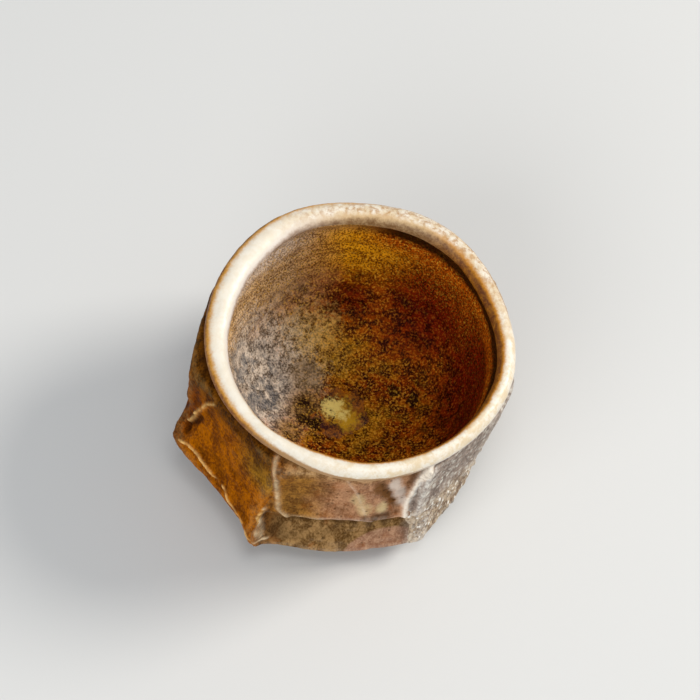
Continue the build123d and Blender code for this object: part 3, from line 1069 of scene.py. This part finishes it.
def lipThickness(az):
    swing = lipForm["thickSwing"] * np.cos(np.radians(az - lipForm["thickAt"]))
    return lipForm["thick"] + swellAt(az, cupForm["leftSwell"]) + swing + swellAt(az, lipForm["swells"])


def lipTop(az):
    waves = np.sin(np.radians(2 * az + 40)) * 0.6 + np.sin(np.radians(3 * az - 70)) * 0.4
    return cupForm["height"] - lipForm["drop"] + lipForm["wave"] * waves


def lipSection(az, angle, coat):
    # angle runs 0 outside, 90 on top, 180 inside
    bare = lipForm["coat"] - coat
    half = lipThickness(az) / 2
    ringRadius = cupForm["rimRadius"] + rimWave(az) - half
    a = math.radians(angle)
    radius = ringRadius + (half - bare) * math.cos(a)
    height = lipTop(az) - lipForm["rise"] + (lipForm["rise"] - bare) * math.sin(a)
    return radius, height


def bowlPoint(az, t, coat):
    # t runs 0 at the lip, then past the throwing groove to 1 in the middle of the floor
    mouth, top = lipSection(az, 180, coat)
    inset = coat - lipForm["coat"]
    floor = lipForm["floor"] + inset
    wall = lipForm["wall"] - inset
    share = lipForm["grooveShare"]
    if t < share:
        u = t / share
        radius = wall + (mouth - wall) * (1 - smoothStep(0.0, 0.75, u))
        radius = radius + lipForm["groove"] * math.sin(math.pi * u)
        return radius, top + (lipForm["grooveEnd"] - top) * u
    t = (t - share) / (1 - share)
    bend = [(1 - t) ** 3, 3 * (1 - t) ** 2 * t, 3 * (1 - t) * t * t, t ** 3]
    radius = bend[0] * wall + bend[1] * (wall - lipForm["wallLean"])
    radius = radius + bend[2] * lipForm["floorReach"] + 0 * az
    height = bend[0] * lipForm["grooveEnd"] + bend[1] * (floor + lipForm["floorCurve"])
    return radius, height + (bend[2] + bend[3]) * floor + 0 * az


clayForm = {
    "baseRings": (1.0, 8.0, 14.0, 18.0, 21.0, 23.0, 24.6),
    "baseSink": 0.02,
    "neck": (40.3, 42.3),    # heights over which the cut wall becomes the lip
    "lipRows": 18,
    "bowlRows": 40,
    "bowlCoat": 0.1,
}


def makeClayBody():
    form = clayForm
    rows, masks = [], []
    plain = (flat, flat, flat)
    for r in form["baseRings"]:
        rows.append((r + flat, cupForm["baseHeight"] - form["baseSink"] + flat))
        masks.append(plain)
    neck = lipSection(azimuths, 0, 0.0)[0]
    for j, height in enumerate(heights):
        blend = smoothStep(*form["neck"], height)
        rows.append((outsideR[j] * (1 - blend) + neck * blend, height + flat))
        masks.append((ridgeMask[j], beadMask[j], hollowMask[j]))
    for angle in np.linspace(5, 180, form["lipRows"]):
        rows.append(lipSection(azimuths, angle, 0.0))
        masks.append(plain)
    for t in np.linspace(0.02, 0.985, form["bowlRows"]):
        rows.append(bowlPoint(azimuths, t, form["bowlCoat"]))
        masks.append(plain)
    piece = turnedPiece("thrownClay", rows, dict(zip(("ridge", "bead", "hollow"), zip(*masks))))
    seat(piece, makeClayMaterial(), "clay_body")
    return piece


footForm = {"outside": 21.0, "width": 5.5, "draft": 0.7, "bevel": 0.7, "wobble": 0.18}


def makeFoot(material):
    f = footForm
    outer, inner, top = f["outside"], f["outside"] - f["width"], cupForm["baseHeight"] + 0.05
    wobble = f["wobble"] * (np.cos(np.radians(3 * azimuths + 20)) + 0.6 * np.cos(np.radians(7 * azimuths)))
    outline = [(inner, top), (inner, 2.6), (inner + 0.05, 1.4), (inner + 0.15, f["bevel"]),
               (inner + f["bevel"] * 0.45, 0.16), (inner + f["bevel"], 0.0),
               (outer - f["draft"] - f["bevel"] * 1.1, 0.0), (outer - f["draft"] - f["bevel"] * 0.5, 0.14),
               (outer - f["draft"], f["bevel"]), (outer - f["draft"] * 0.7, 1.5),
               (outer - f["draft"] * 0.3, 2.7), (outer + 0.1, 3.6), (outer + 0.5, top)]
    rows = []
    for radius, height in outline:
        tool = 0.06 * np.sin(height * 6.0)
        rows.append((radius + wobble * (1.0 if height > 0.01 else 0.6) + tool, height + flat))
    zeros = [flat for _ in rows]
    piece = turnedPiece("turnedFoot", rows, {"ridge": zeros, "bead": zeros, "hollow": zeros}, loop=True)
    seat(piece, material, "foot_ring")


def bedHeight(reach):  # height of the glazed floor at a distance from the middle
    steps = [bowlPoint(np.zeros(1), t, lipForm["coat"]) for t in np.linspace(1.0, 0.4, 60)]
    return np.interp(reach, [float(r[0]) for r, _ in steps], [float(h[0]) for _, h in steps])


liningForm = {
    "grooveRows": 26,
    "wallRows": 112,
    "backRows": 30,
    "backCoat": -0.1,
    "rings": 0.10,           # throwing rings, and where they start and stop along the profile
    "ringPitch": 1.9,
    "ringTurn": 0.6,
    "ringStart": (0.1, 0.25),
    "ringStop": (0.95, 0.6),
    "fine": 0.10,            # lumps: height, then grain, octaves and seed
    "fineNoise": (2.2, 3, 61),
    "coarse": 0.16,
    "coarseNoise": (7.0, 2, 67),
    "fade": (0.0, 0.1),
    "turn": (0.45, 0.75),    # relief moves out on the wall, up on the floor
    "least": 0.4,            # smallest ring of points
}


def makeBowlLining():
    form = liningForm
    share = lipForm["grooveShare"]
    groove, wall = np.linspace(0.0, share, form["grooveRows"]), np.linspace(0.207, 0.985, form["wallRows"])
    rows = []
    for t in np.concatenate([groove, wall]):
        radius, height = bowlPoint(azimuths, t, lipForm["coat"])
        x, y, z = around(azimuths, radius, height)
        rings = form["rings"] * np.sin(height * form["ringPitch"] + form["ringTurn"] * np.radians(azimuths))
        rings = rings * smoothStep(*form["ringStart"], t) * smoothStep(*form["ringStop"], t)
        lumps = form["fine"] * clayNoise(x, y, z, *form["fineNoise"])
        lumps = lumps + form["coarse"] * clayNoise(x, y, z, *form["coarseNoise"])
        off = (rings + lumps) * smoothStep(*form["fade"], t)
        slope = smoothStep(*form["turn"], t)
        rows.append((np.maximum(radius - off * (1 - slope), form["least"]), height + off * slope))
    for t in np.linspace(0.97, 0.0, form["backRows"]):
        rows.append(bowlPoint(azimuths, t, form["backCoat"]))
    piece = turnedPiece("bowlLining", rows, loop=True)
    seat(piece, makeBowlMaterial(), "inner_glaze")


rimForm = {
    "hang": 1.6,             # how far it runs down outside
    "hangSwing": 0.9,
    "hangNoise": (5.0, 4, 71),
    "hangRange": (0.7, 2.9),
    "tuck": 0.8,             # the lower edge goes into the clay
    # degrees up the round of the lip at which the outer edge stops showing brown, and what is added to that:
    # degrees, azimuth, and the spread over which it comes to the full
    "worn": 24,
    "wornMore": [(62, -88, (100, 40)), (34, 150, (80, 30))],
    "wornLess": [(14, 60, 30)],
    # degrees over the round of the lip at which the inner edge starts to thin, and where it is thinnest
    "turns": [-180, -150, -120, -60, -30, 0, 40, 90, 150, 180],
    "hemStart": [72, 84, 112, 116, 104, 100, 92, 82, 74, 72],
    "hemEnd": [150, 160, 174, 174, 152, 148, 144, 138, 145, 150],
    "outerShow": 0.9,
    "innerShow": 0.85,
    "lump": 0.10,
    "lumpNoise": (3.0, 3, 73),
    "run": 0.9,              # how far it runs down inside
    "runSwing": 0.5,
    "runNoise": (5.0, 3, 79),
    "runRange": (0.3, 1.8),
    "backAngles": (180, 140, 90, 40, 0),
    "backCoat": -0.25,
}


def makeRim():
    form = rimForm
    rows, edge, inner = [], [], []
    x, y, _ = around(azimuths, 31 + flat, flat)
    hang = form["hang"] + form["hangSwing"] * clayNoise(x, y, flat, *form["hangNoise"])
    hang = np.clip(hang, *form["hangRange"])
    worn = form["worn"]
    for more, centre, (none, full) in form["wornMore"]:
        worn = worn + more * smoothStep(none, full, np.abs(turnGap(azimuths, centre)))
    worn = worn - swellAt(azimuths, form["wornLess"])
    hemStart = np.interp(azimuths, form["turns"], form["hemStart"])
    hemEnd = np.interp(azimuths, form["turns"], form["hemEnd"])
    for s in np.linspace(0, 1, 10):  # up from the feathered lower edge
        radius, height = lipSection(azimuths, 0, lipForm["coat"])
        rows.append((radius - form["tuck"] * (1 - smoothStep(0.0, 0.9, s)), height - hang * (1 - s)))
        edge.append(1 - 0.35 * s + 0.25 * s * smoothStep(30, 55, worn) + flat)
        inner.append(flat)
    for angle in np.linspace(6, 174, 36):
        radius, height = lipSection(azimuths, angle, lipForm["coat"])
        x, y, z = around(azimuths, radius, height)
        lump = form["lump"] * clayNoise(x, y, z, *form["lumpNoise"])
        a = math.radians(angle)
        rows.append((radius + lump * math.cos(a), height + lump * math.sin(a)))
        outer = form["outerShow"] * smoothStep(worn, 0.15 * worn, angle)
        edge.append(np.maximum(outer, form["innerShow"] * smoothStep(hemStart, hemEnd, angle)))
        inner.append(flat + (1.0 if angle > 90 else 0.0))
    run = np.clip(form["run"] + form["runSwing"] * clayNoise(x, y, z, *form["runNoise"]), *form["runRange"])
    for s in np.linspace(0.1, 1, 7):
        radius, height = lipSection(azimuths, 180, lipForm["coat"])
        rows.append((radius + 0.02 + 0.35 * s * s, height - run * s))
        edge.append(0.7 + 0.3 * s + flat)
        inner.append(flat + 1.0)
    for angle in form["backAngles"]:
        rows.append(lipSection(azimuths, angle, form["backCoat"]))
        edge.append(flat)
        inner.append(flat)
    piece = turnedPiece("paleRim", rows, {"edge": edge, "inner": inner}, loop=True)
    seat(piece, makeRimMaterial(), "rim_glaze")


poolForm = {
    "x": -0.6,
    "y": -1.6,
    "reach": 6.4,
    "waver": 0.22,           # of the outline
    "waverNoise": (1.3, 3, 83),
    "rise": 0.22,
    "skin": 0.06,
    "ripple": 0.05,
    "rippleNoise": (1.5, 3, 89),
    "edgeDip": 0.22,
    "sink": 0.5,
    "rows": 30,
    "underRows": [0.97, 0.5, 0.06],
}


def makePool():
    f = poolForm
    a = np.radians(azimuths)
    shape = f["reach"] * (1 + f["waver"] * clayNoise(np.sin(a) * 2, np.cos(a) * 2, 0, *f["waverNoise"]))
    rows = []
    for s in np.concatenate([np.linspace(0.03, 1.0, f["rows"]), f["underRows"]]):
        under = len(rows) >= f["rows"]
        r = shape * s
        reach = np.hypot(r * np.sin(a) + f["x"], r * np.cos(a) - f["y"])
        bed = bedHeight(reach)
        x, y, _ = around(azimuths, r, 0)
        ripple = f["ripple"] * clayNoise(x, y, flat, *f["rippleNoise"])
        skin = f["rise"] * (1 - s ** 2) + f["skin"] + ripple - f["edgeDip"] * s ** 8
        rows.append((r, bed - f["sink"] if under else bed + skin))
    piece = turnedPiece("glassPool", rows)
    piece.data.transform(Matrix.Translation((f["x"] * mm, f["y"] * mm, 0)))
    seat(piece, makePoolMaterial(), "glaze_pool")


# Coats on the cuts: part of the grid that each takes up, its borders as azimuth and height, thickness, and
# how far it dips under the clay outside its borders
coatForm = {
    "amberCoat": dict(span=(-128, -10), rows=(5.2, 41.6), thick=0.34, dip=0.22, low=7.0, high=41.2, seed=91,
                      left=[(-116, 4)],
                      right=[(-20.5, 8), (-22, 15), (-20.8, 20), (-18.2, 24), (-19.7, 34), (-21.8, 40)]),
    "ashCrust": dict(span=(30, 112), rows=(5.0, 41.4), thick=0.42, dip=0.25, low=6.0, high=40.6, seed=97,
                     left=[(36.5, 8), (34, 20), (33.8, 26), (35.1, 31), (36.6, 35), (38.2, 38.5),
                           (40.5, 41.5)],
                     right=[(86, 6), (92, 12), (101, 19), (94, 25), (103, 31), (96, 37), (100, 42)]),
}


coatEdge = {
    "fray": 0.7,
    "frayNoise": (4.0, 3),   # the seed is the coat's own
    "perDegree": 0.54,       # millimetres round the wall
    "feather": (-0.7, 1.1),
    "skin": 0.06,
    "skinNoise": (1.6, 3),
    "sink": 0.5,
}


def borderAt(points):  # azimuth of a border at every height of the grid
    return np.interp(gridZ, [z for _, z in points], [az for az, _ in points])


def coatThickness(coat):
    # positive where the coat shows, negative where it has run out under the clay's face
    x, y, z = around(gridAz, outsideR, gridZ)
    ragged = clayNoise(x, y, z, *coatEdge["frayNoise"], coat["seed"])
    across = np.minimum(gridAz - borderAt(coat["left"]), borderAt(coat["right"]) - gridAz)
    across = across * coatEdge["perDegree"]
    inside = np.minimum(across, np.minimum(gridZ - coat["low"], coat["high"] - gridZ))
    show = smoothStep(*coatEdge["feather"], inside + coatEdge["fray"] * ragged)
    skin = coatEdge["skin"] * clayNoise(x, y, z, *coatEdge["skinNoise"], coat["seed"] + 5)
    return coat["thick"] * show - coat["dip"] * (1 - show) + skin * show


def makeCoat(name, material, node):
    coat = coatForm[name]
    rowRange = [int(np.searchsorted(heights, z)) for z in coat["rows"]]
    columnRange = [int(round((az + 180) / 360 * columns)) for az in coat["span"]]
    masks = {"ridge": ridgeMask, "bead": beadMask, "hollow": hollowMask}
    piece = patchPiece(name, rowRange, columnRange, coatThickness(coat), coatEdge["sink"], masks)
    seat(piece, material, node)


clayBody = makeClayBody()
makeFoot(clayBody.data.materials[0])
print("clay made")
makeBowlLining()
makeRim()
makePool()
makeCoat("amberCoat", makeAmberMaterial(), "amber_glaze")
makeCoat("ashCrust", makeCrustMaterial(), "ash_crust")
print("coats made")

# Studio: pale floor, soft key from the right and behind, a crown overhead, weak fill
studio = {
    "floorSize": 4.0,
    "floorColour": colour(214, 214, 212),
    "floorShade": 0.97,
    "floorGrain": (0.35, 2.0, 0.5),
    "floorRough": 0.75,
    "aim": (0, 0, 0.03),
    "lamps": {
        "key": dict(place=(0.62, 0.34, 0.62), size=0.34, power=6.4, tint=(1.0, 0.96, 0.9)),
        "crown": dict(place=(0.05, -0.1, 1.1), size=0.5, power=2.6, tint=(1, 1, 1)),
        "fill": dict(place=(-0.34, -0.84, 0.52), size=0.9, power=5.8, tint=(1, 1, 1)),
    },
    "skyColour": (0.86, 0.92, 1.0),
    "skyLevel": 0.33,
}


def areaLamp(name, place, size, power, tint):
    lamp = bpy.data.lights.new(name, "AREA")
    lamp.shape = "DISK"
    lamp.size = size
    lamp.energy = power
    lamp.color = tint
    holder = bpy.data.objects.new(name, lamp)
    holder.location = place
    holder.rotation_euler = (Vector(studio["aim"]) - Vector(place)).to_track_quat("-Z", "Y").to_euler()
    bpy.context.scene.collection.objects.link(holder)


def makeStudio():
    half = studio["floorSize"] / 2
    mesh = bpy.data.meshes.new("floor")
    corners = [(-half, -half, 0), (half, -half, 0), (half, half, 0), (-half, half, 0)]
    mesh.from_pydata(corners, [], [(0, 1, 2, 3)])
    floor = bpy.data.objects.new("floor", mesh)
    bpy.context.scene.collection.objects.link(floor)
    material, tree, shader = newMaterial("floorPaint")
    where = tree.nodes.new("ShaderNodeTexCoord")
    tone = noiseFor(tree, where.outputs["Object"], *studio["floorGrain"])
    shade = tuple(v * studio["floorShade"] for v in studio["floorColour"])
    tree.links.new(blendColour(tree, tone, shade, studio["floorColour"]), shader.inputs["Base Color"])
    shader.inputs["Roughness"].default_value = studio["floorRough"]
    mesh.materials.append(material)
    for name, lamp in studio["lamps"].items():
        areaLamp(name, **lamp)
    world = bpy.data.worlds.new("sky")
    world.use_nodes = True
    back = world.node_tree.nodes["Background"]
    back.inputs["Color"].default_value = (*studio["skyColour"], 1)
    back.inputs["Strength"].default_value = studio["skyLevel"]
    bpy.context.scene.world = world
    bpy.context.scene.view_settings.view_transform = "Standard"


makeStudio()

# Camera of the photograph: high in front, turned about its own axis
view = {
    "elevation": 62.58,
    "roll": 12.7,
    "distance": 0.55,
    "perMillimetre": 5.0,        # pixels at the rim
    "rimPixel": (362.1, 332.2),  # where the middle of the rim falls
    "frame": 700,
    "sensor": 36,
}


def makeCamera():
    e, roll = math.radians(view["elevation"]), math.radians(view["roll"])
    back = Vector((0, -math.cos(e), math.sin(e)))
    side = Vector((1, 0, 0))
    up = back.cross(side)
    right = side * math.cos(roll) + up * math.sin(roll)
    top = up * math.cos(roll) - side * math.sin(roll)
    focal = view["perMillimetre"] * view["distance"] * 1000
    half = view["frame"] / 2
    perPixel = view["distance"] / focal
    place = Vector((0, 0, cupForm["height"] * mm)) + back * view["distance"]
    place -= right * (view["rimPixel"][0] - half) * perPixel
    place += top * (view["rimPixel"][1] - half) * perPixel
    lens = bpy.data.cameras.new("camera")
    lens.sensor_width = view["sensor"]
    lens.lens = view["sensor"] * focal / view["frame"]
    holder = bpy.data.objects.new("camera", lens)
    turn = Matrix((right, top, back)).transposed().to_4x4()
    turn.translation = place
    holder.matrix_world = turn
    bpy.context.scene.collection.objects.link(holder)
    bpy.context.scene.camera = holder


makeCamera()
print("studio and camera ready")
